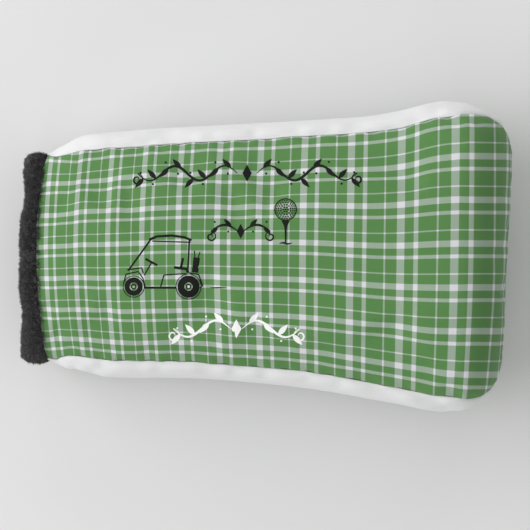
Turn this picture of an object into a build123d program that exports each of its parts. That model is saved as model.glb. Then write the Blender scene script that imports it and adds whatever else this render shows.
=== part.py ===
"""Padded fabric cover for the head of a golf driver.

The cover lies on its back panel on z = 0. +X is its closed end, -X its mouth, +Z its printed front.
Four sewn panels make the outside. Behind each panel is foam, and behind the foam a plush lining. The
lining's plush is turned out round the mouth as a soft cuff.

Every layer is cut from the same family of bodies: body(depth) is the solid whose surface lies that
deep under the outside of the cover.
"""
from build123d import *
import math
import os

# ---- driving dimensions, millimetres and degrees ----
HALF_WIDTH = 73.1          # centre line to either side at the widest place
SHOULDER_X = 92.0          # where the sides start to turn round the closed end
NOSE_X = 25.6              # reach of the closed end past the shoulder
NOSE_Y = 27.0              # how far each side draws in round the closed end
NOSE_LAST_ANGLE = 84.0     # the closed end stops here, in a narrow flat strip that the end seam crosses
END_SKEW = 0.05            # the closed end leans: x grows by this much per millimetre of y
FULLNESS = 3.2             # exponent of the cross-section, 2 is an ellipse, more is fuller
MID_AT_MOUTH = 32.0        # height of the middle plane at the mouth
MID_AT_SHOULDER = 41.5     # height of the middle plane at the shoulder
FLOOR_PRESS = 0.8          # the belly is pressed flat by this much where it lies on the floor

FABRIC = 1.0               # thickness of the outer fabric
FOAM = 3.0                 # thickness of the padding
LINING = 2.5               # thickness of the plush lining

SEAM_INSET = 5.3           # front and back panels stop this far inside the widest outline
SEAM_SLANT = 0.17          # the seam nears a layer's own outline by this much per millimetre of depth
TIP_ANGLE = 58.0           # where a side panel ends, round the corner of the closed end
TIP_TAPER = 38.0           # the side panel narrows over this much of the corner
SEAM_CHANNEL = 2.0         # foam stops this far short of a seam

MOUTH_X = -122.0           # first station, just past the cuff
HEM_X = -110.4             # hem of the outer panels on the centre line
HEM_BOW = 6.4              # the hem is this much further in at its corners
LIP_X = -119.5             # lip of the cuff on the centre line
LIP_BOW = 3.5              # the lip is this much further in at its corners
BOW_HALF_WIDTH = 49.0      # half width over which hem and lip bow
CUFF_PROUD = 2.5           # the cuff stands this far outside the neck
CUFF_INWARD = 0.6          # and this far inside the lining

ELASTIC_THICKNESS = 0.8
ELASTIC_WIDTH = 9.0
ELASTIC_FROM_HEM = 2.6
FOAM_FROM_HEM = 13.0

THREAD_RADIUS = 0.35
STITCH_LENGTH = 2.8
STITCH_PITCH = 3.6
THREAD_CLEARANCE = 0.35    # thread to the fabric or elastic outside it

# Smooth profiles along the length: (x, millimetres).
UPPER_EDGE = [(-122, 49.0), (-104, 51.5), (-90, 56.0), (-75, 57.8), (-40, 60.4), (-5, 62.0),
              (30, 64.2), (55, 65.9), (75, 69.9), (SHOULDER_X, HALF_WIDTH)]
LOWER_EDGE = [(-122, 47.0), (-104, 49.0), (-90, 53.5), (-75, 55.6), (-40, 56.2), (-5, 58.6),
              (30, 62.2), (55, 67.0), (75, 70.8), (SHOULDER_X, HALF_WIDTH)]
BELLY_RISE = [(-122, 6.4), (-104, 5.6), (-85, 2.6), (-60, 0.4), (-40, 0.0), (SHOULDER_X, 0.0)]

BODY_STATIONS = [MOUTH_X, -112, -103, -95, -86, -72, -45, -10, 25, 50, 72, SHOULDER_X]
NOSE_STATIONS = [20, 40, 56, 70, NOSE_LAST_ANGLE]
SECTION_POINTS = 20
FAR = 200.0                # larger than the cover


# ---- shape of the cover ----
def profile_at(profile, x):
    """Value at x of a smooth curve through the points of a profile."""
    last = len(profile) - 2
    i = next((k for k in range(last + 1) if x <= profile[k + 1][0]), last)
    (x0, v0), (x1, v1) = profile[i], profile[i + 1]
    before = profile[i - 1] if i > 0 else profile[0]
    after = profile[i + 2] if i < last else profile[-1]
    span = x1 - x0
    slope0 = (v1 - before[1]) / (x1 - before[0])
    slope1 = (after[1] - v0) / (after[0] - x0)
    t = (x - x0) / span
    return ((2 * t**3 - 3 * t**2 + 1) * v0 + (t**3 - 2 * t**2 + t) * span * slope0
            + (3 * t**2 - 2 * t**3) * v1 + (t**3 - t**2) * span * slope1)


def middle_height(x):
    """Height of the plane that parts the front half from the back half."""
    slope = (MID_AT_SHOULDER - MID_AT_MOUTH) / (SHOULDER_X - HEM_X)
    return MID_AT_MOUTH + slope * (x - HEM_X)


class Ring:
    """One cross-section of body(depth), at station x or at an angle round the closed end."""

    def __init__(self, depth, x=None, angle=0.0):
        turn = math.radians(angle)
        station = SHOULDER_X if x is None else x
        reach = (NOSE_X - depth) * math.sin(turn)
        draw_in = (NOSE_Y - depth) * (1 - math.cos(turn))
        self.depth = depth
        self.angle = angle
        self.x = station + reach
        self.middle = middle_height(self.x)
        self.upper = profile_at(UPPER_EDGE, station) - depth - draw_in
        self.lower = profile_at(LOWER_EDGE, station) - depth - draw_in
        half_height = middle_height(station) + FLOOR_PRESS - profile_at(BELLY_RISE, station) - depth
        self.half_height = half_height * math.cos(turn)
        self.skew = END_SKEW * math.sin(turn)

    def width_to(self, side):
        """Half width towards +Y (side 1) or -Y (side -1)."""
        return self.upper if side > 0 else self.lower

    def point(self, y, z_side):
        """Point of the ring's front (z_side 1) or back (z_side -1) at this y."""
        share = min(1.0, abs(y) / self.width_to(y))
        rise = self.half_height * (1 - share**FULLNESS) ** (1 / FULLNESS)
        return Vector(self.x + self.skew * y, y, self.middle + z_side * rise)

    def wire(self):
        """The whole ring as one closed curve."""
        corners = []
        for k in range(SECTION_POINTS):
            phi = 2 * math.pi * (k + 0.5) / SECTION_POINTS
            across = abs(math.cos(phi)) ** (2 / FULLNESS)
            up = abs(math.sin(phi)) ** (2 / FULLNESS)
            side = math.copysign(1, math.cos(phi))
            y = side * self.width_to(side) * across
            z = self.middle + math.copysign(self.half_height, math.sin(phi)) * up
            corners.append((self.x + self.skew * y, y, z))
        even = [k / SECTION_POINTS for k in range(SECTION_POINTS + 1)]
        return Wire([Edge.make_spline([Vector(*c) for c in corners], periodic=True, parameters=even)])


def rings(depth):
    """All rings of body(depth), mouth to closed end."""
    along = [Ring(depth, x=x) for x in BODY_STATIONS]
    return along + [Ring(depth, angle=a) for a in NOSE_STATIONS]


def body(depth):
    """Solid whose surface lies depth under the outside of the cover, flat where it lies on the floor."""
    loft_solid = Solid.make_loft([ring.wire() for ring in rings(depth)])
    above_floor = Box(2 * FAR, 2 * FAR, FAR, align=(Align.CENTER, Align.CENTER, Align.MIN))
    return loft_solid & Pos(0, 0, max(depth, 0.0)) * above_floor


# ---- cutters ----
def bowed_x(x_centre, bow, y):
    """A line across the mouth that lies furthest out on the centre line."""
    return x_centre + bow * (y / BOW_HALF_WIDTH) ** 2


def beyond(x_centre, bow):
    """Everything on the closed-end side of a bowed line across the mouth."""
    reach = 1.5 * BOW_HALF_WIDTH
    bowed = Spline([(bowed_x(x_centre, bow, y), y) for y in (-reach, -reach / 2, 0, reach / 2, reach)])
    edge_x = bowed_x(x_centre, bow, reach)
    rest = Polyline((edge_x, reach), (FAR, reach), (FAR, -reach), (edge_x, -reach))
    return extrude(make_face([bowed, rest]), amount=FAR, both=True)


def seam_y(ring, side, margin=0.0):
    """Where a long seam crosses a ring. It runs out to the outline at the side panel's tip."""
    left = (TIP_ANGLE - ring.angle) / TIP_TAPER
    taper = math.sin(math.pi / 2 * max(0.0, min(1.0, left)))
    inset = (SEAM_INSET - SEAM_SLANT * ring.depth) * taper
    return side * (ring.width_to(side) - inset - margin)


def seam_plan(side, depth, margin):
    """Plan points of a long seam at a depth, moved inwards by margin, mouth to tip."""
    steps = 8
    along = [Ring(depth, x=x) for x in BODY_STATIONS]
    round_corner = [Ring(depth, angle=TIP_ANGLE * (k + 1) / steps) for k in range(steps)]
    crossings = [(ring, seam_y(ring, side, margin)) for ring in along + round_corner]
    return [(ring.x + ring.skew * y, y) for ring, y in crossings]


def between_seams(depth, margin):
    """Everything above and below the front and back panels, less a margin along the long seams."""
    upper = seam_plan(1, depth, margin)
    lower = seam_plan(-1, depth, margin)
    outline = [
        Spline(upper),
        Polyline(upper[-1], (FAR, upper[-1][1]), (FAR, lower[-1][1]), lower[-1]),
        Spline(lower),
        Line(lower[0], upper[0]),
    ]
    return extrude(make_face(outline), amount=FAR, both=True)


def half_space(z_side, margin):
    """Everything in front of the middle plane (z_side 1) or behind it (-1), less a margin."""
    tilt = math.degrees(math.atan(middle_height(1) - middle_height(0)))
    plane = Plane((0, 0, middle_height(0)), x_dir=(1, 0, 0), z_dir=(0, 0, 1)).rotated((0, -tilt, 0))
    block = Box(4 * FAR, 4 * FAR, 2 * FAR, align=(Align.CENTER, Align.CENTER, Align.MIN))
    if z_side < 0:
        block = Rot(180, 0, 0) * block
    return plane * Pos(0, 0, z_side * margin) * block


def largest(shape):
    """The one real solid of a cut, without slivers."""
    return max(shape.solids(), key=lambda s: s.volume)


# ---- pieces ----
def layer(outer_depth, inner_depth, hem_offset, margin):
    """Front, back and two side pieces of one layer of the wall."""
    wall = (body(outer_depth) - body(inner_depth)) & beyond(HEM_X + hem_offset, HEM_BOW)
    inner_plan = between_seams(outer_depth, margin)
    outer_plan = between_seams(outer_depth, -margin)
    upper_half = Pos(0, FAR, 0) * Box(4 * FAR, 2 * FAR, 4 * FAR)
    lower_half = Pos(0, -FAR, 0) * Box(4 * FAR, 2 * FAR, 4 * FAR)
    return {
        "front": largest(wall & inner_plan & half_space(1, margin)),
        "back": largest(wall & inner_plan & half_space(-1, margin)),
        "side_upper": largest((wall - outer_plan) & upper_half),
        "side_lower": largest((wall - outer_plan) & lower_half),
    }


def plush_cuff():
    """Roll of plush round the mouth, from the hem to the lip."""
    ring = body(-CUFF_PROUD) - body(FABRIC + FOAM + LINING + CUFF_INWARD)
    return largest((ring & beyond(LIP_X, LIP_BOW)) - beyond(HEM_X, HEM_BOW))


def neck_elastic():
    """Elastic band in the hem casing, against the inside of the outer fabric."""
    ring = body(FABRIC) - body(FABRIC + ELASTIC_THICKNESS)
    start = HEM_X + ELASTIC_FROM_HEM
    return largest((ring & beyond(start, HEM_BOW)) - beyond(start + ELASTIC_WIDTH, HEM_BOW))


# ---- thread ----
def spaced(points, pitch):
    """Points every pitch along a dense path, each with the path's direction."""
    result = []
    travelled = 0.0
    due = pitch / 2
    for start, end in zip(points, points[1:]):
        run = (end - start).length
        while travelled + run >= due:
            result.append((start + (end - start) * ((due - travelled) / run), (end - start).normalized()))
            due += pitch
        travelled += run
    return result


def stitches(points, pitch=STITCH_PITCH, swing=0.0, across=None):
    """A row of short thread runs along a path; swing makes it a zigzag."""
    row = []
    for number, (place, direction) in enumerate(spaced(points, pitch)):
        if swing:
            direction = (direction + across * (swing if number % 2 else -swing)).normalized()
        plane = Plane(place, z_dir=direction)
        row.append(plane * Cylinder(THREAD_RADIUS, STITCH_LENGTH))
    return Compound(children=row)


def seam_thread(side, z_side):
    """Lockstitch of one long seam, in the channel between the foam pads."""
    depth = FABRIC + THREAD_CLEARANCE + THREAD_RADIUS
    straight_steps = 90
    corner_steps = 20
    last_angle = TIP_ANGLE - 16
    start = HEM_X + HEM_BOW + FOAM_FROM_HEM
    run = SHOULDER_X - start
    path = [Ring(depth, x=start + run * k / straight_steps) for k in range(straight_steps + 1)]
    path += [Ring(depth, angle=last_angle * (k + 1) / corner_steps) for k in range(corner_steps)]
    return stitches([ring.point(seam_y(ring, side), z_side) for ring in path])


def end_thread():
    """Lockstitch of the seam across the closed end, tip to tip."""
    depth = FABRIC + THREAD_CLEARANCE + THREAD_RADIUS
    ring = Ring(depth, angle=NOSE_LAST_ANGLE)
    steps = 40
    reach = 0.92
    points = []
    for k in range(steps + 1):
        y = -reach * ring.lower + reach * (ring.lower + ring.upper) * k / steps
        points.append(Vector(ring.x + ring.skew * y, y, ring.middle))
    return stitches(points)


def mouth_path(depth, offset):
    """Closed path round the mouth, a given depth in and a given distance from the hem."""
    points = []
    steps = 240
    for k in range(steps + 1):
        phi = 2 * math.pi * k / steps
        side = math.copysign(1, math.cos(phi))
        rough = Ring(depth, x=HEM_X + offset)
        y = side * rough.width_to(side) * abs(math.cos(phi)) ** (2 / FULLNESS)
        ring = Ring(depth, x=bowed_x(HEM_X, HEM_BOW, y) + offset)
        y = side * ring.width_to(side) * abs(math.cos(phi)) ** (2 / FULLNESS)
        points.append(ring.point(y, math.copysign(1, math.sin(phi))))
    return points


def hem_thread():
    """Lockstitch that joins hem, lining and cuff."""
    depth = FABRIC + THREAD_CLEARANCE + THREAD_RADIUS
    return stitches(mouth_path(depth, ELASTIC_FROM_HEM / 2))


def elastic_thread():
    """Zigzag that holds the elastic to the outer fabric."""
    depth = FABRIC + ELASTIC_THICKNESS + THREAD_CLEARANCE + THREAD_RADIUS
    middle = ELASTIC_FROM_HEM + ELASTIC_WIDTH / 2
    return stitches(mouth_path(depth, middle), swing=0.8, across=Vector(1, 0, 0))


# ---- the assembly ----
def build_nodes():
    """Every node of the cover, by name."""
    nodes = {}
    fabric = layer(0.0, FABRIC, 0.0, 0.0)
    foam = layer(FABRIC, FABRIC + FOAM, FOAM_FROM_HEM, SEAM_CHANNEL)
    lining = layer(FABRIC + FOAM, FABRIC + FOAM + LINING, 0.0, 0.0)
    for place in ("front", "back"):
        nodes[f"{place}_panel"] = fabric[place]
        nodes[f"{place}_foam"] = foam[place]
        nodes[f"{place}_lining"] = lining[place]
    for place in ("upper", "lower"):
        nodes[f"side_panel_{place}"] = fabric[f"side_{place}"]
        nodes[f"side_foam_{place}"] = foam[f"side_{place}"]
        nodes[f"side_lining_{place}"] = lining[f"side_{place}"]
    nodes["plush_cuff"] = plush_cuff()
    nodes["neck_elastic"] = neck_elastic()
    for side, side_name in ((1, "upper"), (-1, "lower")):
        for z_side, face_name in ((1, "front"), (-1, "back")):
            nodes[f"seam_thread_{face_name}_{side_name}"] = seam_thread(side, z_side)
    nodes["seam_thread_end"] = end_thread()
    nodes["hem_thread"] = hem_thread()
    nodes["elastic_thread"] = elastic_thread()
    return nodes


os.makedirs("parts", exist_ok=True)
for name, shape in build_nodes().items():
    export_step(shape, f"parts/{name}.step")
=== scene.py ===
"""The looks of the driver head cover.

The cover lies on its back panel with its mouth at -X. Every soft layer is built as one grid laid over
the same closed form: surface() gives the point of that form at a station along the cover, an angle round
its cross-section and a depth under its outside. The form's widths and heights are read from the packed
panels.
"""
import math
from functools import partial

import bpy
import numpy as np
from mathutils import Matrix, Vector, noise
from mathutils.bvhtree import BVHTree


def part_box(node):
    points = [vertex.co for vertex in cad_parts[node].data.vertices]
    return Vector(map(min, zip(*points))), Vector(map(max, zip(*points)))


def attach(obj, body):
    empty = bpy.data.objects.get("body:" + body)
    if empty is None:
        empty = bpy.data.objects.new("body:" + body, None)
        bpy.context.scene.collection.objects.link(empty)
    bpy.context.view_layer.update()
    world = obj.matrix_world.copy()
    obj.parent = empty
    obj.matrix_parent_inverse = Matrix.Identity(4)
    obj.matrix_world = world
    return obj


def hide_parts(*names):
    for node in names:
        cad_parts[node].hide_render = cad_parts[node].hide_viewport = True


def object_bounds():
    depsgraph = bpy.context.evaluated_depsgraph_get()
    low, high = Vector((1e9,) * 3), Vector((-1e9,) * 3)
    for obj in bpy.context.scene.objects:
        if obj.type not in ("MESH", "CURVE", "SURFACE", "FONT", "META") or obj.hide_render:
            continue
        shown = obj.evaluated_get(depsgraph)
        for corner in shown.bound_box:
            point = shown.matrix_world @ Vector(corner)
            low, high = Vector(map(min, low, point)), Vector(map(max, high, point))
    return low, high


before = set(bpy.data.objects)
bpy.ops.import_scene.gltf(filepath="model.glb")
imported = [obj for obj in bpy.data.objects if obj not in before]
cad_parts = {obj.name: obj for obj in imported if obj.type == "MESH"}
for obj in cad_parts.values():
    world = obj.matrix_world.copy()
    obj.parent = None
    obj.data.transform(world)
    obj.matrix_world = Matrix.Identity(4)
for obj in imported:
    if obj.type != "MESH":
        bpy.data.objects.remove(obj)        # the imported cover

MM = 0.001
cad_low, cad_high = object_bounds()

# ---- the form: driving dimensions that the panels' boxes do not give, metres and degrees ----
OUTER_PANELS = ("front_panel", "back_panel", "side_panel_upper", "side_panel_lower")
FULLNESS = 3.2              # exponent of the cross-section
NOSE_X = 25.6 * MM          # reach of the closed end past the shoulder
NOSE_Y = 27.0 * MM          # how far each side draws in round the closed end
NOSE_FRONT = 27.9 * MM      # from the shoulder to the furthest point of the leaning end
END_SKEW = 0.05             # lean of the closed end
SEAM_INSET = 5.3 * MM       # seam to outline, in plan
SEAM_SLANT = 0.17           # the seam nears a layer's own outline with depth
# Upper side 1, lower side -1: seam to outline where the side panels start at the mouth.
MOUTH_INSET = {1: 3.2 * MM, -1: 1.5 * MM}
LEAST_INSET = 0.9 * MM      # and no nearer than this, but at the side panels' tips
MOUTH_TAPER = 14.0 * MM     # the inset reaches its full size over this
TIP_ANGLE = 58.0            # a side panel ends here, narrowing round the corner
TIP_TUCK = 3.5              # degrees by which its tip is tucked under front and back
TIP_PHI = 0.03              # half width of the tucked tip, radians
HEM_BOW = 6.4 * MM          # the hem is this much further in at its corners
BOW_HALF_WIDTH = 49.0 * MM  # half width at the hem's corners
BOW_FADES_OVER = 70.0 * MM  # distance from the hem at which its bow has died away

CLOTH = 0.8 * MM            # thickness of the outer cloth
SEAM_GROOVE = 0.9 * MM      # the cloth dips this deep into a seam
END_GROOVE = 0.35           # share of the groove at the seam across the closed end
END_REACH = 36.0 * MM       # radius of the front over the closed end, for distances to its seam
SEAM_GROOVE_WIDTH = 0.9 * MM
SEAM_PULL = 0.4 * MM        # wider, shallower pull beside a seam
SEAM_PULL_WIDTH = 7.0 * MM
PUCKER = 0.35 * MM          # height of the puckers along a seam
PUCKER_LENGTH = 6.5 * MM
CASING = 14.0 * MM          # the hem casing holds the seams flat
CASING_FIRM = 0.15          # share of the groove left at the hem itself
# Upper side 1, lower side -1: the turned hem is thick where the seams cross it.
HEM_LIFT = {1: 2.2 * MM, -1: 0.6 * MM}
HEM_LIFT_LENGTH = 9.0 * MM
SOFTNESS = 0.7 * MM         # height of the broad waves of the padding
SOFTNESS_LENGTH = 42.0 * MM
SOFT_FROM_SEAM = 12.0 * MM  # they die away this near a seam
FLOOR_GAP = 0.05 * MM
GRID = 1.9 * MM             # spacing of the cloth's grid
END_RADIUS = 34.0 * MM      # mean radius of the closed end, for the spacing of its rows


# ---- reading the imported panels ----
def panel_tree():
    """The outer panels, for casting rays at them."""
    points, faces = [], []
    for name in OUTER_PANELS:
        mesh = bpy.data.objects[name].data
        first = len(points)
        points += [v.co.copy() for v in mesh.vertices]
        faces += [[first + i for i in p.vertices] for p in mesh.polygons]
    return BVHTree.FromPolygons(points, faces)


TREE = panel_tree()
HEM_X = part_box("front_panel")[0].x
SHOULDER_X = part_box("front_panel")[1].x - NOSE_FRONT
FIRST_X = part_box("side_panel_upper")[0].x + 1.0 * MM
MOUTH_MIDDLE = (Vector(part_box("neck_elastic")[0]) + Vector(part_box("neck_elastic")[1])) / 2
END_MIDDLE = (Vector(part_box("seam_thread_end")[0]) + Vector(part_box("seam_thread_end")[1])) / 2
FAR = 0.5  # metres, well outside the cover


def middle_height(x):
    """Height of the plane that parts front from back."""
    share = (x - MOUTH_MIDDLE.x) / (END_MIDDLE.x - MOUTH_MIDDLE.x)
    return MOUTH_MIDDLE.z + share * (END_MIDDLE.z - MOUTH_MIDDLE.z)


def read_profile(measure, count=16):
    """(x, value) pairs of a measure taken at even stations, hem to shoulder."""
    step = (SHOULDER_X - FIRST_X) / (count - 1)
    return [(FIRST_X + k * step, measure(FIRST_X + k * step)) for k in range(count)]


def half_width(x, side):
    hit = TREE.ray_cast(Vector((x, side * FAR, middle_height(x))), Vector((0, -side, 0)))[0]
    return abs(hit.y)


def half_height(x):
    hit = TREE.ray_cast(Vector((x, 0, FAR)), Vector((0, 0, -1)))[0]
    return hit.z - middle_height(x)


UPPER = read_profile(lambda x: half_width(x, 1))
LOWER = read_profile(lambda x: half_width(x, -1))
HEIGHT = read_profile(half_height, 14)


def smooth(profile, x):
    """Value at x of a smooth curve through a profile's points."""
    x = min(max(x, profile[0][0]), profile[-1][0])
    last = len(profile) - 2
    i = next((k for k in range(last + 1) if x <= profile[k + 1][0]), last)
    (x0, v0), (x1, v1) = profile[i], profile[i + 1]
    before = profile[max(i - 1, 0)]
    after = profile[min(i + 2, last + 1)]
    slope0 = (v1 - before[1]) / (x1 - before[0])
    slope1 = (after[1] - v0) / (after[0] - x0)
    t = (x - x0) / (x1 - x0)
    return ((2 * t**3 - 3 * t**2 + 1) * v0 + (t**3 - 2 * t**2 + t) * (x1 - x0) * slope0
            + (3 * t**2 - 2 * t**3) * v1 + (t**3 - t**2) * (x1 - x0) * slope1)


# ---- the form ----
def side_of(y):
    return 1 if y > 0 else -1


class Ring:
    """A cross-section at station x, or at an angle round the closed end, at a depth."""

    def __init__(self, x, angle=0.0, depth=0.0):
        turn = math.radians(angle)
        draw_in = (NOSE_Y - depth) * (1 - math.cos(turn))
        self.x = x + (NOSE_X - depth) * math.sin(turn)
        self.middle = middle_height(self.x)
        self.angle = angle
        self.depth = depth
        self.upper = smooth(UPPER, x) - depth - draw_in
        self.lower = smooth(LOWER, x) - depth - draw_in
        self.height = (smooth(HEIGHT, x) - depth) * math.cos(turn)
        self.skew = END_SKEW * math.sin(turn)

    def width(self, side):
        return self.upper if side > 0 else self.lower

    def point(self, phi):
        """The point at an angle round the ring, 0 at the upper side and a quarter turn at the front."""
        side = 1 if math.cos(phi) >= 0 else -1
        y = side * self.width(side) * abs(math.cos(phi)) ** (2 / FULLNESS)
        up = math.copysign(abs(math.sin(phi)) ** (2 / FULLNESS), math.sin(phi))
        return Vector((self.x + self.skew * y, y, self.middle + self.height * up))

    def seam_phi(self, side, margin=0.0):
        """Angle at which the front seam of this side crosses the ring, less a margin on the front."""
        taper = max(0.0, 1 - self.angle / TIP_ANGLE)
        in_mouth = max(0.0, 1 - (self.x - FIRST_X) / MOUTH_TAPER)
        inset = SEAM_INSET - (SEAM_INSET - MOUTH_INSET[side]) * in_mouth ** 2 - SEAM_SLANT * self.depth
        inset = max(inset, LEAST_INSET) * taper + margin
        share = max(0.0, min(1.0, 1 - inset / self.width(side)))
        phi = math.acos(share ** (FULLNESS / 2))
        return phi if side > 0 else math.pi - phi


def bowed(x, y):
    """Rings near the mouth bow out on the centre line; the bow fades along the cover."""
    fade = max(0.0, 1 - max(0.0, x - HEM_X) / BOW_FADES_OVER)
    return x + HEM_BOW * fade * fade * (y / BOW_HALF_WIDTH) ** 2


def surface(x, angle, phi, depth):
    """Point of the form at a station, an angle round the section and a depth."""
    ring = Ring(x, angle, depth)
    if angle == 0.0 and x < HEM_X + BOW_FADES_OVER:
        ring = Ring(bowed(x, ring.point(phi).y), 0.0, depth)
    return ring.point(phi)


def fill_places(length, edge, spacing):
    """Even places along a length, closer together by the given distances from each end."""
    inner_from, inner_to = edge[-1], length - edge[-1]
    count = max(2, round((inner_to - inner_from) / spacing))
    inner = [inner_from + (inner_to - inner_from) * k / count for k in range(count + 1)]
    return list(edge[:-1]) + inner + [length - e for e in reversed(edge[:-1])]


EDGE_ROWS = (0.0, 0.35 * MM, 0.8 * MM, 1.5 * MM, 2.6 * MM)  # first places from a seam
ARC_SAMPLES = 120


class Across:
    """Arc length across one ring between two angles, and the angle at a share of it."""

    def __init__(self, ring, phi0, phi1):
        self.phis = [phi0 + (phi1 - phi0) * k / ARC_SAMPLES for k in range(ARC_SAMPLES + 1)]
        points = [ring.point(p) for p in self.phis]
        self.run = np.concatenate([[0], np.cumsum([(b - a).length for a, b in zip(points, points[1:])])])
        self.length = float(self.run[-1])

    def phi(self, distance):
        return float(np.interp(distance, self.run, self.phis))


def stations(first_x, last_angle, spacing=GRID):
    """(x, angle) along the cover, hem to the given angle round the closed end."""
    count = round((SHOULDER_X - first_x) / spacing)
    along = [(first_x + (SHOULDER_X - first_x) * k / count, 0.0) for k in range(count)]
    turns = round(math.radians(last_angle) * END_RADIUS / spacing)
    return along + [(SHOULDER_X, last_angle * k / turns) for k in range(turns + 1)]


# ---- the padding: a cloth simulation swells each outer panel between its seams ----
SIM_GRID = 5.0 * MM
SIM_FRAMES = 20
SIM_PRESSURE = 4.0
SIM_SLACK = 0.02    # the cloth is cut this much larger than its place
SIM_OUT = 1.6 * MM  # the most that a panel may swell
SIM_IN = 0.6 * MM   # and the most that it may sink
SIM_SHARE = 0.7     # share of the simulated rise that is kept
SIM_BENDING = 2.0


class Swell:
    """How far a simulated panel stands out of its grid, at a row place and a share of the way across."""

    def __init__(self, row_places, shares, heights):
        self.row_places = row_places
        self.shares = shares
        self.heights = heights

    def at(self, row_place, share):
        rows, columns = self.heights.shape
        r = float(np.interp(row_place, self.row_places, range(rows)))
        c = float(np.interp(share, self.shares, range(columns)))
        r0, c0 = min(int(r), rows - 2), min(int(c), columns - 2)
        across = [cubic([self.heights[min(max(i, 0), rows - 1), min(max(j, 0), columns - 1)]
                         for j in range(c0 - 1, c0 + 3)], c - c0) for i in range(r0 - 1, r0 + 3)]
        return cubic(across, r - r0)


def cubic(values, t):
    """Smooth curve through four values, between the middle two."""
    before, first, second, after = values
    return first + t / 2 * (second - before + t * (2 * before - 5 * first + 4 * second - after
                                                   + t * (3 * (first - second) + after - before)))


def row_place(x, angle):
    """0 to 1 along the body, 1 to 2 round the closed end."""
    return (x - HEM_X) / (SHOULDER_X - HEM_X) + angle / 90.0


def swell(grid, flip):
    """Runs the cloth of one panel, its edges held, under a little pressure."""
    piece = grid.build("swelling_panel", flip)
    rows, columns = len(grid.rows), len(grid.rows[0])
    held = piece.vertex_groups.new(name="held")
    edge = [i * columns + j for i in range(rows) for j in range(columns)
            if i in (0, rows - 1) or j in (0, columns - 1)]
    held.add(edge, 1.0, "REPLACE")
    cloth = piece.modifiers.new("cloth", "CLOTH")
    settings = cloth.settings
    settings.vertex_group_mass = "held"
    settings.effector_weights.gravity = 0
    settings.use_pressure = True
    settings.uniform_pressure_force = SIM_PRESSURE
    settings.shrink_min = -SIM_SLACK
    settings.bending_stiffness = SIM_BENDING
    cloth.point_cache.frame_start, cloth.point_cache.frame_end = 1, SIM_FRAMES
    before = np.array([v.co for v in piece.data.vertices])
    normals = np.array([v.normal for v in piece.data.vertices])
    scene = bpy.context.scene
    for number in range(1, SIM_FRAMES + 1):
        scene.frame_set(number)
    shown = piece.evaluated_get(bpy.context.evaluated_depsgraph_get())
    after = np.array([v.co for v in shown.data.vertices])
    scene.frame_set(1)
    bpy.data.objects.remove(piece)
    out = np.clip(((after - before) * normals).sum(axis=1) * SIM_SHARE, -SIM_IN, SIM_OUT)
    return Swell(grid.places, grid.shares, out.reshape(rows, columns))


# ---- cloth grids ----
def linked(name, mesh):
    piece = bpy.data.objects.new(name, mesh)
    bpy.context.collection.objects.link(piece)
    return piece


def ripple(place, wave_length, seed):
    """Smooth random wave, -1 to 1."""
    return noise.noise(place / wave_length + Vector((0, 0, seed)))


def cloth_depth(base, place, to_seam, to_end, from_hem, swollen):
    """Depth of the cloth at a place.

    Seams groove and pull it in, the turned hem and the padding lift it. swollen is the simulated swell.
    """
    near = min(to_seam, to_end)
    firm = END_GROOVE if to_end < to_seam else min(1.0, CASING_FIRM + from_hem / CASING)
    groove = SEAM_GROOVE * firm * math.exp(-(near / SEAM_GROOVE_WIDTH) ** 1.5)
    pull = SEAM_PULL * firm * math.exp(-near / SEAM_PULL_WIDTH)
    pucker = PUCKER * firm * math.exp(-near / (0.8 * PUCKER_LENGTH)) * ripple(place, PUCKER_LENGTH, 3.0)
    soft = SOFTNESS * ripple(place, SOFTNESS_LENGTH, 9.0) * min(1.0, near / SOFT_FROM_SEAM)
    lift = HEM_LIFT[side_of(place.y)] * math.exp(-(from_hem + near) / HEM_LIFT_LENGTH)
    return base + groove + pull + pucker + soft - lift - swollen


def floor_clear(point, lowest):
    """Keeps the belly flat where it lies on the floor."""
    point.z = max(point.z, lowest)
    return point


class Grid:
    """A grid of points with a print and a cloth coordinate at each.

    places holds each row's row_place(), shares each column's share of the way across.
    """

    def __init__(self):
        self.rows = []
        self.print_rows = []
        self.cloth_rows = []
        self.places = []
        self.shares = []

    def area(self):
        total = 0.0
        for low, high in zip(self.rows, self.rows[1:]):
            for k in range(len(low) - 1):
                a, b, c, d = low[k], low[k + 1], high[k + 1], high[k]
                total += ((b - a).cross(d - a).length + (b - c).cross(d - c).length) / 2
        return total

    def size(self):
        """Width across the widest row and length along the middle column."""
        widths = [sum((b - a).length for a, b in zip(row, row[1:])) for row in self.rows]
        middle = [row[len(row) // 2] for row in self.rows]
        return max(widths), sum((b - a).length for a, b in zip(middle, middle[1:]))

    def build(self, name, flip):
        """Mesh object of the grid. flip turns its faces over."""
        across = len(self.rows[0])
        points = [p for row in self.rows for p in row]
        faces = []
        for i in range(len(self.rows) - 1):
            for j in range(across - 1):
                a = i * across + j
                face = (a, a + 1, a + 1 + across, a + across)
                faces.append(face[::-1] if flip else face)
        mesh = bpy.data.meshes.new(name)
        mesh.from_pydata(points, [], faces)
        for label, rows in (("print", self.print_rows), ("cloth", self.cloth_rows)):
            data = mesh.attributes.new(label, "FLOAT_VECTOR", "POINT").data
            data.foreach_set("vector", [c for row in rows for p in row for c in p])
        mesh.polygons.foreach_set("use_smooth", [True] * len(mesh.polygons))
        return linked(name, mesh)


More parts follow.
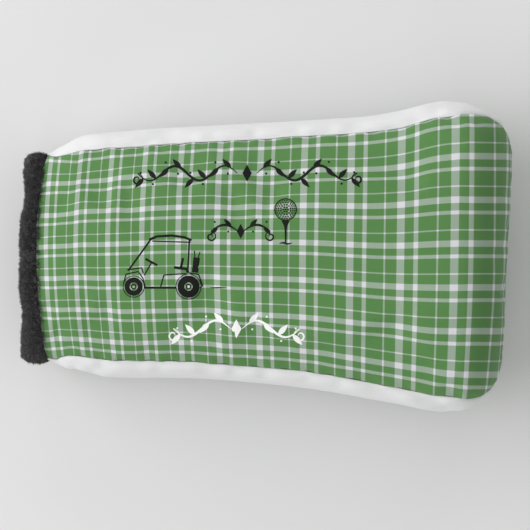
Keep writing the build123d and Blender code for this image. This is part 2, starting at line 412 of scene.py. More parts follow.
def lay(path, shares, edges, middle, depth, swollen, z_side=1, printed=False):
    """Grid of a layer. edges() gives its two edges' angles on a ring, middle is its middle line's angle."""
    grid = Grid()
    grid.shares = shares
    walked = 0.0
    previous = None
    for x, angle in path:
        ring = Ring(x, angle, depth)
        arc = Across(ring, *edges(ring))
        centre = surface(x, angle, middle, depth)
        walked += (centre - previous).length if previous else 0.0
        previous = centre
        drop = surface(x, 0.0, middle, depth).z - centre.z
        past_tip = printed and angle >= TIP_ANGLE
        to_end = math.radians(90.0 - angle) * END_REACH if printed and angle > 0 else FAR
        row, prints, cloths = [], [], []
        for share in shares:
            distance = share * arc.length
            phi = arc.phi(distance)
            flat = surface(x, angle, phi, depth)
            sunk = depth
            if swollen:
                place = Vector((flat.x, flat.y, flat.z * z_side))
                to_seam = FAR if past_tip else min(distance, arc.length - distance)
                rise = swollen.at(row_place(x, angle), share)
                sunk = cloth_depth(depth, place, to_seam, 0.0 if past_tip else to_end, walked, rise)
            point = surface(x, angle, phi, sunk)
            if z_side < 0:
                point.z = 2 * middle_height(point.x) - point.z
            row.append(floor_clear(point, FLOOR_GAP + depth))
            prints.append(print_coordinates(flat, x, drop) if printed else (0.0, 0.0, 0.0))
            cloths.append((walked, distance, 0.0))
        grid.rows.append(row)
        grid.print_rows.append(prints)
        grid.cloth_rows.append(cloths)
        grid.places.append(row_place(x, angle))
    return grid


def shares_across(arc, spacing):
    return [place / arc.length for place in fill_places(arc.length, EDGE_ROWS, spacing)]


def front_grid(z_side, depth, first_x, margin=0.0, swollen=None, end_gap=0.0, spacing=GRID):
    """Grid of a front (z_side 1) or back (-1) layer between the long seams."""
    def edges(ring, inside=margin):
        return ring.seam_phi(1, inside), ring.seam_phi(-1, inside)

    last_angle = 90.0 - math.degrees(end_gap / smooth(HEIGHT, SHOULDER_X))
    shoulder = Ring(SHOULDER_X)
    shares = shares_across(Across(shoulder, *edges(shoulder, 0.0)), spacing)
    path = stations(first_x, last_angle, spacing)
    return lay(path, shares, edges, math.pi / 2, depth, swollen, z_side, printed=True)


def side_grid(side, depth, first_x, margin=0.0, swollen=None, spacing=GRID):
    """Grid of a side layer, from its front seam round the outline to its back seam."""
    def edges(ring):
        seam = ring.seam_phi(side, -margin)
        if side > 0:
            seam = max(seam, TIP_PHI)
            return seam, -seam
        seam = min(seam, math.pi - TIP_PHI)
        return seam, 2 * math.pi - seam

    last_angle = TIP_ANGLE - PAD_TIP_GAP if margin else TIP_ANGLE + TIP_TUCK
    halfway = Ring(0.0)
    shares = shares_across(Across(halfway, halfway.seam_phi(1), -halfway.seam_phi(1)), spacing)
    path = stations(first_x, last_angle, spacing)
    return lay(path, shares, edges, 0.0 if side > 0 else math.pi, depth, swollen)


# ---- the plaid print: repeats along and across the panel ----
PRINT_FIRST_X = HEM_X + 3.9 * MM  # a broad stripe lies here
PRINT_FIRST_REPEAT = 14.2 * MM    # length of the repeat there
PRINT_GROWTH = 0.0645             # growth of the repeat per length
PRINT_EDGE = -0.94                # repeats across at the upper seam
PRINT_REPEATS = 6.48              # repeats between the seams
PRINT_FLARE_X = -92.0 * MM        # nearer the mouth the long stripes run straight on
PRINT_DROOP = 1.3 * MM            # and swing to the lower side
PRINT_DROOP_X = -60.0 * MM        # from here on
PRINT_BOW = 4.6 * MM              # the stripes bow with the hem
PRINT_BOW_ENDS = 60.0 * MM        # up to here
PRINT_LEAN = 1.7                  # the lower ends of the last stripes lean back, per metre
PRINT_LEAN_UPPER = 0.3            # the upper ends by this share
PRINT_SPREAD = 1.43               # the repeats shrink by the height over this
PRINT_END_FROM = 16.0 * MM        # past this drop the stripes run on down the closed end
PRINT_OVER_END = 0.9              # at this share of the drop
PRINT_FAN = 0.021                 # the stripes fan out, closer together at the lower side
PRINT_FAN_FROM = -30.0 * MM


def print_coordinates(point, x, drop):
    """Repeats along and across at a point of a front or back panel."""
    ring = Ring(min(max(x, PRINT_FLARE_X), SHOULDER_X))
    share = point.y / ring.width(point.y)
    bow = PRINT_BOW * share * share * max(0.0, (PRINT_BOW_ENDS - point.x) / (PRINT_BOW_ENDS - HEM_X))
    past = max(0.0, point.x - PRINT_BOW_ENDS)
    lean = PRINT_LEAN * past * past * share * share * (1.0 if point.y < 0 else PRINT_LEAN_UPPER)
    over_end = PRINT_OVER_END * max(0.0, drop - PRINT_END_FROM)
    spread = 1 + (point.z - ring.middle) / PRINT_SPREAD
    fan = PRINT_FAN * (point.x - PRINT_FAN_FROM) * (1 - share) / 2
    along = point.x * spread + fan - bow + lean + over_end - PRINT_FIRST_X
    u = math.log(1 + PRINT_GROWTH * along / PRINT_FIRST_REPEAT) / PRINT_GROWTH
    upper_seam = ring.upper - SEAM_INSET
    lower_seam = ring.lower - SEAM_INSET
    droop = PRINT_DROOP * (max(0.0, PRINT_DROOP_X - point.x) / (PRINT_DROOP_X - HEM_X)) ** 2
    below_seam = upper_seam - point.y * spread - droop
    v = PRINT_EDGE + PRINT_REPEATS * below_seam / (upper_seam + lower_seam)
    return (u, v, 0.0)


# ---- materials ----
class Nodes:
    """Short names for building a material's node tree."""

    def __init__(self, name, roughness=0.8, sheen=0.0, specular=0.3):
        self.material = bpy.data.materials.new(name)
        self.material.use_nodes = True
        self.tree = self.material.node_tree
        self.shader = self.tree.nodes["Principled BSDF"]
        self.shader.inputs["Roughness"].default_value = roughness
        self.shader.inputs["Sheen Weight"].default_value = sheen
        self.shader.inputs["Sheen Roughness"].default_value = 0.5
        self.shader.inputs["Specular IOR Level"].default_value = specular

    def add(self, kind, **settings):
        node = self.tree.nodes.new(kind)
        for key, value in settings.items():
            setattr(node, key, value)
        return node

    def put(self, socket, value):
        if isinstance(value, bpy.types.NodeSocket):
            self.tree.links.new(value, socket)
        else:
            socket.default_value = value

    def math(self, operation, *values):
        node = self.add("ShaderNodeMath", operation=operation)
        for socket, value in zip(node.inputs, values):
            self.put(socket, value)
        return node.outputs[0]

    def attribute(self, name):
        return self.add("ShaderNodeAttribute", attribute_name=name).outputs["Vector"]

    def place(self):
        return self.add("ShaderNodeTexCoord").outputs["Object"]

    def split(self, vector):
        node = self.add("ShaderNodeSeparateXYZ")
        self.put(node.inputs[0], vector)
        return node.outputs

    def scaled(self, vector, factors):
        node = self.add("ShaderNodeVectorMath", operation="MULTIPLY")
        self.put(node.inputs[0], vector)
        node.inputs[1].default_value = factors
        return node.outputs[0]

    def noise(self, vector, scale, detail=3.0, roughness=0.5):
        node = self.add("ShaderNodeTexNoise")
        self.put(node.inputs["Vector"], vector)
        node.inputs["Scale"].default_value = scale
        node.inputs["Detail"].default_value = detail
        node.inputs["Roughness"].default_value = roughness
        return node.outputs["Fac"]

    def ramp(self, value, low, high, to_low=0.0, to_high=1.0):
        node = self.add("ShaderNodeMapRange", interpolation_type="SMOOTHSTEP")
        for socket, number in zip(node.inputs, (value, low, high, to_low, to_high)):
            self.put(socket, number)
        return node.outputs[0]

    def mix(self, share, first, second, blend="MIX"):
        node = self.add("ShaderNodeMix", data_type="RGBA", blend_type=blend)
        self.put(node.inputs[0], share)
        self.put(node.inputs[6], first)
        self.put(node.inputs[7], second)
        return node.outputs[2]

    def colour(self, value):
        self.put(self.shader.inputs["Base Color"], value)

    def bump(self, height, distance, strength=1.0):
        node = self.add("ShaderNodeBump")
        node.inputs["Strength"].default_value = strength
        node.inputs["Distance"].default_value = distance
        self.put(node.inputs["Height"], height)
        self.put(self.shader.inputs["Normal"], node.outputs[0])


def srgb(red, green, blue):
    """Linear colour of 8-bit display values."""
    def linear(c):
        c /= 255
        return c / 12.92 if c <= 0.04045 else ((c + 0.055) / 1.055) ** 2.4
    return (linear(red), linear(green), linear(blue), 1.0)


YARN = 0.42 * MM      # pitch of the weave
GREEN = srgb(93, 142, 79)
DEEP_GREEN = srgb(86, 134, 73)
WHITE = srgb(231, 231, 236)
BROAD = (0.0, 0.150)  # place and width of a stripe, in repeats
MEDIUM = (0.29, 0.088)
FINE = (0.69, 0.036)
STRIPE_COVER = 0.475  # how much white one stripe lays over the green
COVER_CURVE = 1.4     # two crossed stripes hide the green almost fully


def weave(m, cloth):
    """Height of a plain weave: threads along and across that pass over each other."""
    along, over, _ = m.split(m.scaled(cloth, (math.pi / YARN,) * 3))
    warp = m.math("ABSOLUTE", m.math("SINE", along))
    weft = m.math("ABSOLUTE", m.math("SINE", over))
    return m.math("MULTIPLY", warp, weft)


def stripe(m, coordinate, place, width, softness=0.018):
    """1 inside a stripe that repeats once per unit."""
    shifted = m.math("FRACT", m.math("ADD", coordinate, 0.5 - place))
    off = m.math("ABSOLUTE", m.math("SUBTRACT", shifted, 0.5))
    return m.ramp(off, width / 2 - softness / 2, width / 2 + softness / 2, 1.0, 0.0)


def stripes(m, coordinate):
    """Broad, medium and fine stripe of one direction."""
    coordinate = m.math("ADD", coordinate, 8.0)
    broad = stripe(m, coordinate, *BROAD)
    medium = stripe(m, coordinate, *MEDIUM)
    fine = stripe(m, coordinate, *FINE)
    return m.math("MAXIMUM", broad, m.math("MAXIMUM", medium, m.math("MULTIPLY", fine, 0.95)))


def plaid_cloth():
    m = Nodes("plaid_cloth", roughness=0.78, sheen=0.12, specular=0.25)
    cloth = m.attribute("cloth")
    u, v, _ = m.split(m.attribute("print"))
    cover = m.math("MULTIPLY", m.math("ADD", stripes(m, u), stripes(m, v)), STRIPE_COVER)
    cover = m.math("POWER", cover, COVER_CURVE)
    threads = weave(m, cloth)
    grain = m.noise(cloth, 900.0, 2.0)
    green = m.mix(m.noise(cloth, 38.0, 4.0), GREEN, DEEP_GREEN)
    colour = m.mix(m.math("MINIMUM", cover, 1.0), green, WHITE)
    # Painted shade: the colour is darkened in the dips between the threads and lightened a little on their
    # crowns; the grain adds a random tone.
    thread_shade_and_grain = m.math("MULTIPLY", m.ramp(threads, 0.0, 0.8, 0.90, 1.02), m.ramp(grain, 0.2, 0.8, 0.97, 1.02))
    grey = m.add("ShaderNodeCombineColor")
    for socket in grey.inputs:
        m.put(socket, thread_shade_and_grain)
    m.colour(m.mix(1.0, colour, grey.outputs[0], "MULTIPLY"))
    m.bump(m.math("ADD", threads, m.math("MULTIPLY", grain, 0.4)), 0.06 * MM, 0.7)
    return m.material


def white_cloth():
    m = Nodes("white_cloth", roughness=0.8, sheen=0.15, specular=0.25)
    cloth = m.attribute("cloth")
    threads = weave(m, cloth)
    base = m.mix(m.noise(cloth, 45.0, 4.0), srgb(235, 235, 235), srgb(230, 230, 231))
    # Painted shade: the cloth is mixed towards a darker grey in the dips between the threads.
    m.colour(m.mix(m.ramp(threads, 0.0, 0.6, 0.14, 0.0), base, srgb(190, 190, 192)))
    m.bump(m.math("ADD", threads, m.math("MULTIPLY", m.noise(cloth, 900.0, 2.0), 0.4)), 0.06 * MM, 0.7)
    return m.material


def foam_material():
    m = Nodes("open_cell_foam", roughness=0.95, specular=0.2)
    cells = m.add("ShaderNodeTexVoronoi", feature="DISTANCE_TO_EDGE")
    m.put(cells.inputs["Vector"], m.place())
    cells.inputs["Scale"].default_value = 900.0
    walls = cells.outputs["Distance"]
    # Painted shade: the colour darkens towards the middle of each cell, where the pores are.
    m.colour(m.mix(m.ramp(walls, 0.0, 0.25), srgb(236, 232, 214), srgb(196, 190, 166)))
    m.bump(walls, 0.3 * MM, 0.8)
    return m.material


def plush_material():
    """The pile seen as a surface: clumps, with painted shade darkening the gaps between them."""
    m = Nodes("plush_ground", roughness=0.95, sheen=0.35, specular=0.1)
    clumps = m.noise(m.place(), 420.0, 5.0, 0.65)
    # Painted shade: dark where the clumps dip, lighter on their tops.
    m.colour(m.mix(m.ramp(clumps, 0.3, 0.7), srgb(34, 31, 33), srgb(66, 63, 65)))
    m.bump(clumps, 1.2 * MM, 0.9)
    return m.material


def elastic_material():
    m = Nodes("ribbed_elastic", roughness=0.75, sheen=0.1)
    cloth = m.attribute("cloth")
    along, over, _ = m.split(m.scaled(cloth, (1 / (0.9 * MM), 1 / (0.5 * MM), 1.0)))
    ribs = m.math("ABSOLUTE", m.math("SINE", m.math("MULTIPLY", along, math.pi)))
    knit = m.math("ABSOLUTE", m.math("SINE", m.math("MULTIPLY", over, math.pi)))
    height = m.math("ADD", ribs, m.math("MULTIPLY", knit, 0.3))
    # Painted shade: darker in the grooves between the ribs, lighter on the ribs.
    m.colour(m.mix(m.ramp(ribs, 0.0, 0.5), srgb(176, 176, 174), srgb(228, 228, 226)))
    m.bump(height, 0.2 * MM, 0.8)
    return m.material


def thread_material():
    m = Nodes("sewing_thread", roughness=0.6, sheen=0.2)
    ply = m.add("ShaderNodeTexWave", bands_direction="DIAGONAL")
    m.put(ply.inputs["Vector"], m.place())
    ply.inputs["Scale"].default_value = 900.0
    # Painted shade: darker in the grooves between the twisted plies.
    m.colour(m.mix(ply.outputs["Fac"], srgb(206, 206, 204), srgb(236, 236, 234)))
    m.bump(ply.outputs["Fac"], 0.05 * MM, 0.6)
    return m.material


def ink(name, colour):
    m = Nodes(name, roughness=0.7, specular=0.25)
    m.colour(colour)
    return m.material


def pile_material(name, grey):
    m = Nodes(name, roughness=0.85, sheen=0.25, specular=0.15)
    m.colour(srgb(grey + 2, grey, grey + 1))
    return m.material


# ---- finishing a piece ----
def finish_piece(piece, material, nodes=(), thickness=0.0):
    piece.data.materials.append(material)
    if thickness:
        solid = piece.modifiers.new("thickness", "SOLIDIFY")
        solid.thickness = thickness
        solid.offset = -1
        solid.use_even_offset = False
    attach(piece, "root")
    if nodes:
        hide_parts(*nodes)
    return piece


def sheet_piece(grid, name, flip, material, node, thickness=CLOTH):
    piece = finish_piece(grid.build(name, flip), material, (node,), thickness)
    width, length = grid.size()
    grid.area()
    return piece


def pad_piece(grid, name, flip, material, node, thickness):
    piece = finish_piece(grid.build(name, flip), material, (node,), thickness)
    return piece


# ---- the layers ----
FOAM_DEPTH, FOAM = 2.1 * MM, 2.3 * MM
LINING_DEPTH, LINING = 4.9 * MM, 1.5 * MM
FOAM_FROM_HEM = 13.0 * MM
SEAM_CHANNEL = 2.2 * MM  # the pads stop this far short of a seam
END_GAP = 3.0 * MM       # and this far short of the end seam
PAD_TIP_GAP = 10.0       # and this many degrees short of the side panels' tips
HIDDEN_GRID = 4.0 * MM


def make_panel(pattern, grid_at, flip, material, slot, foam, plush, **pad_gap):
    """Cloth, pad and lining of one panel. grid_at() makes its grid at a depth, from a first x."""
    pad = pattern.format("foam_pad")
    swollen = swell(grid_at(0.0, HEM_X, spacing=SIM_GRID), flip)
    sheet_piece(grid_at(0.0, HEM_X, swollen=swollen), pattern.format("panel_cloth"), flip, material,
                pattern.format("panel"))
    pad_from = HEM_X + FOAM_FROM_HEM
    pad_grid = grid_at(FOAM_DEPTH, pad_from, margin=SEAM_CHANNEL, spacing=HIDDEN_GRID, **pad_gap)
    pad_piece(pad_grid, pad, flip, foam, pattern.format("foam"), FOAM)
    lining = grid_at(LINING_DEPTH, HEM_X, spacing=HIDDEN_GRID)
    sheet_piece(lining, pattern.format("lining_plush"), flip, plush, pattern.format("lining"),
                LINING)


def make_layers():
    plaid, white, foam, plush = plaid_cloth(), white_cloth(), foam_material(), plush_material()
    for name, z_side in (("front", 1), ("back", -1)):
        make_panel(name + "_{}", partial(front_grid, z_side), z_side < 0, plaid, "printed_cloth",
                   foam, plush, end_gap=END_GAP)
    for name, side in (("upper", 1), ("lower", -1)):
        make_panel("side_{}_" + name, partial(side_grid, side), side < 0, white, "white_cloth", foam, plush)
    thread = thread_material()
    for node in [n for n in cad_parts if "thread" in n]:
        shown = bpy.data.objects[node]
        shown.data.materials.clear()
        shown.data.materials.append(thread)


# ---- the mouth: elastic, cuff and pile ----
CUFF_OVERLAP = 3.8 * MM         # the plush laps over the hem
CUFF_MIDDLE = 0.62              # middle of the roll, 0 at the lip and 1 at its edge on the hem
CUFF_REACH = 0.34               # and its reach to either side of that
CUFF_OUT = 2.7 * MM             # tips of the pile stand this far outside the neck
CUFF_IN = 7.2 * MM              # and this far inside
PILE = 1.9 * MM                 # length of the pile
CUFF_GROWTH = 10.0 * MM         # a step outward over this adds to the reach
PILE_PIECES = 4
PILE_HAIRS = 13200              # in each piece
PILE_GREYS = (50, 66, 86, 112)  # of 255
LIP_X = cad_low.x
CUFF_BOW = 3.4 * MM             # bow of the cuff's edge on the cloth
# Upper side 1, lower side -1: how far the lip draws in towards that side, and the hollow beside its end.
LIP_BOW = {1: 1.0 * MM, -1: -1.4 * MM}
CUFF_WAIST = {1: 3.0 * MM, -1: 1.9 * MM}
CUFF_WAIST_Y = 29.0 * MM
CUFF_WAIST_WIDTH = 9.5 * MM


def mouth_point(phi, along, depth):
    """Point round the mouth: along runs from 0 at the lip to 1 at the hem."""
    y = Ring(HEM_X, 0.0, depth).point(phi).y
    side = side_of(y)
    bend = (y / BOW_HALF_WIDTH) ** 2
    waist = math.exp(-((abs(y) - CUFF_WAIST_Y) / CUFF_WAIST_WIDTH) ** 2)
    lip = LIP_X + LIP_BOW[side] * bend + CUFF_WAIST[side] * waist
    hem = HEM_X + CUFF_OVERLAP + CUFF_BOW * bend
    return Ring(lip + (hem - lip) * along, 0.0, depth).point(phi)


def cuff_point(phi, psi, out=0.0):
    """Point of the cuff's roll: phi goes round the mouth, psi round the roll."""
    middle_depth = (CUFF_IN - CUFF_OUT) / 2
    half_depth = (CUFF_IN + CUFF_OUT) / 2 - PILE * 0.75 + out
    round_mouth = Vector((math.cos(phi), math.sin(phi), 0.0))
    round_roll = Vector((math.cos(psi), 0.0, math.sin(psi)))
    lump = 1 + 0.14 * noise.noise(4.2 * round_mouth + Vector((0, 0, 2)))
    lump += 0.13 * noise.noise(15 * round_mouth + 1.1 * round_roll)
    lump += 0.07 * noise.noise(38 * round_mouth + 2.4 * round_roll)
    along = CUFF_MIDDLE - (CUFF_REACH + out / CUFF_GROWTH) * math.cos(psi) * lump
    return mouth_point(phi, along, middle_depth - half_depth * math.sin(psi) * lump)


def even_phis(count):
    """Angles at even distances round the mouth."""
    arc = Across(Ring(HEM_X), 0.0, 2 * math.pi)
    return [arc.phi(arc.length * k / count) for k in range(count)]


def closed_mesh(name, rows, cloth_rows=None):
    """Mesh of a ring of closed loops, joined end to end."""
    across = len(rows[0])
    faces = []
    for i in range(len(rows)):
        low, high = i * across, (i + 1) % len(rows) * across
        for j in range(across):
            after = (j + 1) % across
            faces.append((low + j, high + j, high + after, low + after))
    mesh = bpy.data.meshes.new(name)
    mesh.from_pydata([p for row in rows for p in row], [], faces)
    if cloth_rows:
        data = mesh.attributes.new("cloth", "FLOAT_VECTOR", "POINT").data
        data.foreach_set("vector", [c for row in cloth_rows for p in row for c in p])
    mesh.polygons.foreach_set("use_smooth", [True] * len(mesh.polygons))
    return linked(name, mesh)


def make_cuff():
    rows = [[cuff_point(phi, 2 * math.pi * k / 28) for k in range(28)] for phi in even_phis(180)]
    piece = finish_piece(closed_mesh("plush_cuff_roll", rows), plush_material(), ("plush_cuff",))
    return piece


ELASTIC_DEPTH = 2.8 * MM
ELASTIC_WIDTH = 9.0 * MM
ELASTIC = 0.7 * MM       # thickness
ELASTIC_STEP = 1.2 * MM  # of its cloth coordinate, per station round the mouth
# Places along its width, with the outer (-1) and inner (1) face.
ELASTIC_SECTION = ((0, 0), (0.03, -1), (0.35, -1), (0.65, -1), (0.97, -1),
                   (1, 0), (0.97, 1), (0.65, 1), (0.35, 1), (0.03, 1))


def make_elastic():
    """Flat band with rounded edges in the hem casing."""
    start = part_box("neck_elastic")[0].x
    rows, cloth_rows = [], []
    for number, phi in enumerate(even_phis(240)):
        row, cloths = [], []
        y = Ring(start, 0.0, ELASTIC_DEPTH).point(phi).y
        for along, face in ELASTIC_SECTION:
            x = start + ELASTIC_WIDTH * along + HEM_BOW * (y / BOW_HALF_WIDTH) ** 2
            row.append(Ring(x, 0.0, ELASTIC_DEPTH + face * ELASTIC / 2).point(phi))
            cloths.append((number * ELASTIC_STEP, along * ELASTIC_WIDTH, 0.0))
        rows.append(row)
        cloth_rows.append(cloths)
    return finish_piece(closed_mesh("neck_elastic_band", rows, cloth_rows), elastic_material(),
                        ("neck_elastic",))


def hair_mesh(name, roots, tips_way, bends, lengths, widths, shades):
    """Tapering three-sided hairs, each three runs long, in one mesh."""
    count = len(roots)
    helper = np.where(np.abs(tips_way[:, 2:3]) > 0.8, [[1.0, 0, 0]], [[0, 0, 1.0]])
    side = np.cross(tips_way, helper)
    side /= np.linalg.norm(side, axis=1, keepdims=True)
    other = np.cross(tips_way, side)
    vertices = np.empty((count, 10, 3))
    for ring, (reach, taper) in enumerate(((0.0, 1.0), (0.4, 0.9), (0.75, 0.6))):
        centre = roots + tips_way * (lengths * reach)[:, None] + bends * (reach ** 2)
        for corner in range(3):
            turn = 2 * math.pi * corner / 3
            out = side * math.cos(turn) + other * math.sin(turn)
            vertices[:, ring * 3 + corner] = centre + out * (widths * taper / 2)[:, None]
    vertices[:, 9] = roots + tips_way * lengths[:, None] + bends
    quads = []
    for ring in (0, 3):
        quads += [(ring + c, ring + (c + 1) % 3, ring + 3 + (c + 1) % 3, ring + 3 + c) for c in range(3)]
    caps = [(6 + c, 6 + (c + 1) % 3, 9) for c in range(3)]
    offsets = (np.arange(count) * 10)[:, None, None]
    four = (np.array(quads)[None] + offsets).reshape(-1, 4)
    three = (np.array(caps)[None] + offsets).reshape(-1, 3)
    mesh = bpy.data.meshes.new(name)
    mesh.from_pydata(vertices.reshape(-1, 3), [], [tuple(f) for f in four] + [tuple(f) for f in three])
    slots = np.concatenate([np.repeat(shades, 6), np.repeat(shades, 3)]).astype(np.int32)
    mesh.polygons.foreach_set("material_index", slots)
    mesh.polygons.foreach_set("use_smooth", [True] * len(mesh.polygons))
    return linked(name, mesh)


def make_pile():
    """The brushed pile of the cuff, in four quarters round the mouth."""
    greys = [pile_material(f"pile_{k}", grey) for k, grey in enumerate(PILE_GREYS)]
    rng = np.random.default_rng(7)
    hairs = PILE_HAIRS
    loops, turns = 240, 36
    phis = even_phis(loops)
    psis = [2 * math.pi * k / turns for k in range(turns)]
    base = np.array([[cuff_point(phi, psi) for psi in psis] for phi in phis])
    outer = np.array([[cuff_point(phi, psi, 1 * MM) for psi in psis] for phi in phis])
    out = outer - base
    out /= np.linalg.norm(out, axis=2, keepdims=True)
    for part in range(PILE_PIECES):
        first = part * loops // PILE_PIECES
        i = first + rng.integers(0, loops // PILE_PIECES, hairs)
        j = rng.integers(0, turns, hairs)
        s, t = rng.random(hairs)[:, None], rng.random(hairs)[:, None]
        i2, j2 = (i + 1) % loops, (j + 1) % turns
        roots = ((base[i, j] * (1 - s) + base[i2, j] * s) * (1 - t)
                 + (base[i, j2] * (1 - s) + base[i2, j2] * s) * t)
        clump = np.array([noise.noise_vector(Vector(r) * 520) for r in roots.tolist()])
        way = out[i, j] + 0.8 * clump + rng.normal(0, 0.25, (hairs, 3))
        way /= np.linalg.norm(way, axis=1, keepdims=True)
        lengths = PILE * rng.uniform(0.8, 1.1, hairs) * (1 + 0.35 * clump[:, 0])
        bends = rng.normal(0, 0.3 * MM, (hairs, 3)) + 0.5 * MM * clump
        widths = rng.uniform(0.20, 0.34, hairs) * MM
        shades = np.clip(1.4 + 1.6 * clump[:, 1] + rng.normal(0, 0.8, hairs), 0, 3).astype(int)
        sunk = roots - way * 0.4 * MM
        piece = hair_mesh(f"cuff_pile_{part + 1}", sunk, way, bends, lengths, widths, shades)
        for grey in greys:
            piece.data.materials.append(grey)
        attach(piece, "root")


# ---- printed drawings ----
INK_HEIGHT = 0.10 * MM
INK_THICKNESS = 0.12 * MM


class Drawing:
    """Flat shapes, in millimetres about a centre, that are laid on the front cloth."""

    def __init__(self, x, y):
        self.x = x * MM
        self.y = y * MM
        self.points = []
        self.faces = []

    def shape(self, points, faces):
        first = len(self.points)
        self.points += points
        self.faces += [tuple(first + i for i in f) for f in faces]

    def stroke(self, path, width, taper=False):
        """A line through the points of a path, round-ended by narrowing if it tapers."""
        dense = [path[0]]
        for a, b in zip(path, path[1:]):
            steps = max(1, math.ceil(math.dist(a, b) / 0.8))
            dense += [(a[0] + (b[0] - a[0]) * k / steps, a[1] + (b[1] - a[1]) * k / steps)
                      for k in range(1, steps + 1)]
        left, right = [], []
        last = len(dense) - 1
        for k, p in enumerate(dense):
            a, b = dense[max(k - 1, 0)], dense[min(k + 1, last)]
            run = math.dist(a, b) or 1.0
            half = width / 2
            if taper:
                half *= 0.25 + 0.75 * math.sin(math.pi * k / last)
            nx, ny = -(b[1] - a[1]) / run * half, (b[0] - a[0]) / run * half
            left.append((p[0] + nx, p[1] + ny))
            right.append((p[0] - nx, p[1] - ny))
        faces = [(k, last + 1 + k, last + 2 + k, k + 1) for k in range(last)]
        self.shape(left + right, faces)

    def curve(self, formula, start, end, width, steps=36, taper=False):
        self.stroke([formula(start + (end - start) * k / steps) for k in range(steps + 1)], width, taper)

    def disc(self, centre, radius, hole=0.0, sides=32):
        rings = max(1, math.ceil((radius - hole) / 1.2))
        points, faces = [], []
        for r in range(rings + 1):
            size = hole + (radius - hole) * r / rings
            points += [(centre[0] + size * math.cos(2 * math.pi * k / sides),
                        centre[1] + size * math.sin(2 * math.pi * k / sides)) for k in range(sides)]
        for r in range(rings):
            for k in range(sides):
                a, b = r * sides + k, r * sides + (k + 1) % sides
                faces.append((a, a + sides, b + sides, b))
        if not hole:
            points, faces = points[sides - 1:], [tuple(max(i - sides + 1, 0) for i in f) for f in faces]
            faces = [tuple(dict.fromkeys(f)) for f in faces]
        self.shape(points, faces)

    def fan(self, outline):
        """A small filled shape, star-shaped about its middle."""
        middle = (sum(p[0] for p in outline) / len(outline), sum(p[1] for p in outline) / len(outline))
        count = len(outline)
        self.shape([middle] + list(outline), [(0, 1 + k, 1 + (k + 1) % count) for k in range(count)])

    def lay(self, name, material, cloth):
        """Lays the drawing on the cloth and makes it a thin piece."""
        laid = []
        for x, y in self.points:
            above = Vector((self.x + x * MM, self.y + y * MM, FAR))
            hit, normal, _, _ = cloth.ray_cast(above, Vector((0, 0, -1)))
            normal = normal if normal.z > 0 else -normal
            laid.append(hit + normal * INK_HEIGHT)
        mesh = bpy.data.meshes.new(name)
        mesh.from_pydata(laid, [], self.faces)
        mesh.update()
        for face in [p for p in mesh.polygons if p.normal.z < 0]:
            face.flip()
        mesh.update()
        return finish_piece(linked(name, mesh), material, (), INK_THICKNESS)


def leaf(base, angle, length, width):
    """Outline of a pointed leaf."""
    points = []
    for k in range(9):
        t = k / 8
        points.append((length * t, width / 2 * math.sin(math.pi * t ** 0.8)))
    points += [(x, -y) for x, y in reversed(points[1:-1])]
    c, s = math.cos(angle), math.sin(angle)
    return [(base[0] + x * c - y * s, base[1] + x * s + y * c) for x, y in points]


def scroll_border(drawing, half_length, height, weight, waves):
    """A wavy vine with leaves, mirrored about a lozenge. Sizes in millimetres."""
    for side in (-1, 1):
        start = 0.09 * half_length

        def vine(t):
            x = start + (half_length - start) * t
            return (side * x, height * 0.26 * math.sin(waves * math.pi * t))
        drawing.curve(vine, 0.0, 1.0, weight, 60, taper=True)
        for k in range(waves * 2):
            t = (k + 0.5) / (waves * 2)
            base = vine(t)
            up = 1 if k % 2 == 0 else -1
            tilt = math.pi / 2 * up - side * up * 0.75
            drawing.fan(leaf(base, tilt, height * 0.44, height * 0.17))
            drawing.disc((base[0] + side * 1.4, base[1] - up * height * 0.2), weight * 0.42, sides=12)
        end = vine(1.0)

        def curl(t):
            radius = height * 0.22 * (1 - 0.75 * t)
            turn = math.pi * (0.5 + 2.52 * t)
            x = end[0] + side * radius * math.cos(turn)
            return (x, end[1] - height * 0.22 + radius * math.sin(turn))
        drawing.curve(curl, 0.0, 1.0, weight * 0.7, 40, taper=True)
    drawing.fan([(-height * 0.16, 0), (0, height * 0.3), (height * 0.16, 0), (0, -height * 0.3)])


CART_LINE = 0.55
CART_STROKES = (  # path and width, millimetres
    ([(-13.2, -13.0), (2.4, -13.0)], 1.0),
    ([(-22.8, -11.0), (-21.6, -6.6), (-15.8, -5.4), (-13.6, -8.6), (-12.6, -12.6)], CART_LINE),
    ([(-21.0, -4.6), (-14.2, -3.6), (-13.4, -6.2)], CART_LINE),
    ([(-20.6, -5.0), (-9.4, 10.4)], 0.8),
    ([(-10.6, 9.6), (-7.0, 11.2), (0.0, 11.6), (6.0, 10.8), (9.4, 9.4)], 1.1),
    ([(-9.2, 9.0), (9.0, 8.4)], CART_LINE),
    ([(8.4, 9.4), (8.0, 1.0), (7.6, -5.8)], 0.8),
    ([(-13.0, -7.2), (-9.4, -1.0)], CART_LINE),
    ([(-12.4, 0.6), (-6.8, -2.4)], 1.0),
    ([(-5.2, -12.6), (-3.6, -7.0), (6.8, -6.4)], CART_LINE),
    ([(1.2, -3.4), (7.2, -4.2), (7.8, -6.0)], 1.3),
    ([(4.4, -3.6), (5.4, 1.0)], 1.1),
    ([(8.4, -6.0), (12.8, -6.8), (14.6, -12.0), (13.4, -13.0)], CART_LINE),
    ([(11.0, 1.4), (10.8, 4.4)], 0.45),
    ([(12.6, 1.2), (13.4, 3.8)], 0.45),
)


def draw_cart(drawing):
    """Side view of a plain two-seat golf cart, facing -X."""
    for x, radius in ((-18.0, 4.3), (8.0, 5.2)):
        drawing.disc((x, -12.5), radius, 2.0)
        drawing.disc((x, -12.5), 1.35, 0.75, 20)
        drawing.disc((x, -12.5), radius + 0.9, radius + 0.55, 32)
    for path, width in CART_STROKES:
        drawing.stroke(path, width)
    drawing.fan([(9.6, -5.6), (10.4, 1.4), (13.4, 1.0), (12.6, -6.0)])
    drawing.stroke([(18.0, -13.0), (26.0, -13.0)], CART_LINE, taper=True)


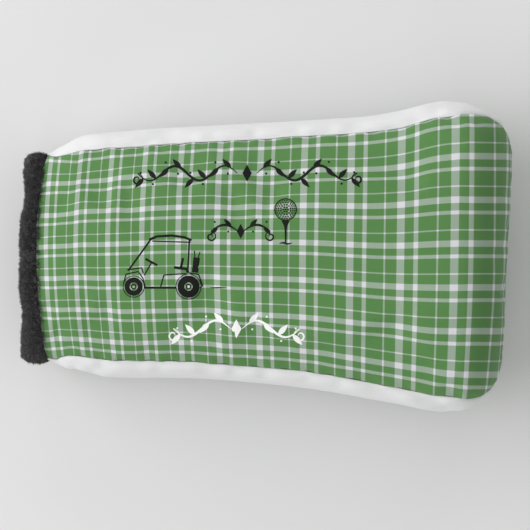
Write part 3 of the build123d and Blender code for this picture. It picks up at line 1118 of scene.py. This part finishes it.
def draw_ball_on_tee(drawing):
    """A dimpled ball on its tee."""
    radius = 5.3
    drawing.disc((0, 5.4), radius, radius - 0.5, 40)
    for ring, count in ((0.0, 1), (1.15, 6), (2.3, 12), (3.4, 18), (4.3, 24)):
        for k in range(count):
            turn = 2 * math.pi * (k + 0.5 * (ring > 2)) / count
            squeeze = 0.46 - 0.03 * ring
            drawing.disc((ring * math.cos(turn), 5.4 + ring * math.sin(turn)), squeeze, sides=10)
    drawing.fan([(-2.0, 0.2), (2.0, 0.2), (0.95, -1.2), (0.5, -4.0), (0.35, -10.0), (-0.35, -10.0),
                 (-0.5, -4.0), (-0.95, -1.2)])
    drawing.stroke([(-3.0, -10.6), (-1.2, -10.2), (0.8, -10.8), (3.0, -10.4)], 0.9, taper=True)


def make_drawings():
    mesh = bpy.data.objects["front_panel_cloth"].data
    cloth = BVHTree.FromPolygons([v.co for v in mesh.vertices], [p.vertices for p in mesh.polygons])
    black = ink("black_ink", srgb(14, 14, 14))
    white = ink("white_ink", srgb(250, 250, 250))
    for name, place, size, material in (
            ("print_long_scroll", (-8.0, 39.5), (52.0, 13.5, 1.25, 4), black),
            ("print_short_scroll", (-11.0, 12.0), (14.0, 11.5, 1.1, 1), black),
            ("print_white_scroll", (-13.0, -34.0), (30.0, 15.0, 1.15, 2), white)):
        scroll = Drawing(*place)
        scroll_border(scroll, *size)
        scroll.lay(name, material, cloth)
    cart = Drawing(-43.6, -1.6)
    draw_cart(cart)
    cart.lay("print_golf_cart", black, cloth)
    ball = Drawing(10.2, 16.8)
    draw_ball_on_tee(ball)
    ball.lay("print_ball_on_tee", black, cloth)


# ---- the picture ----
VIEW_MARGIN = 1.0715  # width of the view over the length of the cover


def make_stage():
    """Pale floor, a broad soft light beyond the mouth, two weaker ones beside, a camera straight above."""
    bpy.ops.mesh.primitive_plane_add(size=4.0, location=(0, 0, 0))
    floor = bpy.context.object
    floor.name = "floor"
    paint = Nodes("pale_floor", roughness=0.9, specular=0.1)
    paint.colour(srgb(232, 232, 232))
    floor.data.materials.append(paint.material)

    world = bpy.data.worlds.new("studio")
    bpy.context.scene.world = world
    world.use_nodes = True
    sky = world.node_tree.nodes["Background"]
    sky.inputs["Color"].default_value = (1.0, 1.0, 1.0, 1.0)
    sky.inputs["Strength"].default_value = 0.42

    def lamp(name, place, width, height, power):
        light = bpy.data.lights.new(name, "AREA")
        light.shape = "RECTANGLE"
        light.size = width
        light.size_y = height
        light.energy = power
        holder = bpy.data.objects.new(name, light)
        holder.location = place
        holder.rotation_euler = (-Vector(place)).to_track_quat("-Z", "Y").to_euler()
        bpy.context.collection.objects.link(holder)

    lamp("key", (-2.6, 0.3, 1.75), 4.4, 1.5, 86.0)
    lamp("upper_side", (-0.1, 2.2, 1.2), 2.4, 1.0, 13.5)
    lamp("lower_side", (-0.1, -2.2, 1.2), 2.4, 1.0, 10.0)

    scene = bpy.context.scene
    scene.view_settings.view_transform = "Standard"
    camera = bpy.data.objects.new("camera", bpy.data.cameras.new("camera"))
    bpy.context.collection.objects.link(camera)
    camera.data.sensor_width = 36.0
    camera.data.lens = 200.0
    view_width = VIEW_MARGIN * (cad_high.x - cad_low.x)
    distance = view_width * camera.data.lens / camera.data.sensor_width
    camera.location = (0.5 * MM, -3.9 * MM, middle_height(0.0) + distance)
    camera.data.clip_start, camera.data.clip_end = 0.05, 20.0
    scene.camera = camera


make_layers()
make_elastic()
make_cuff()
make_pile()
make_drawings()
make_stage()

bpy.context.view_layer.update()
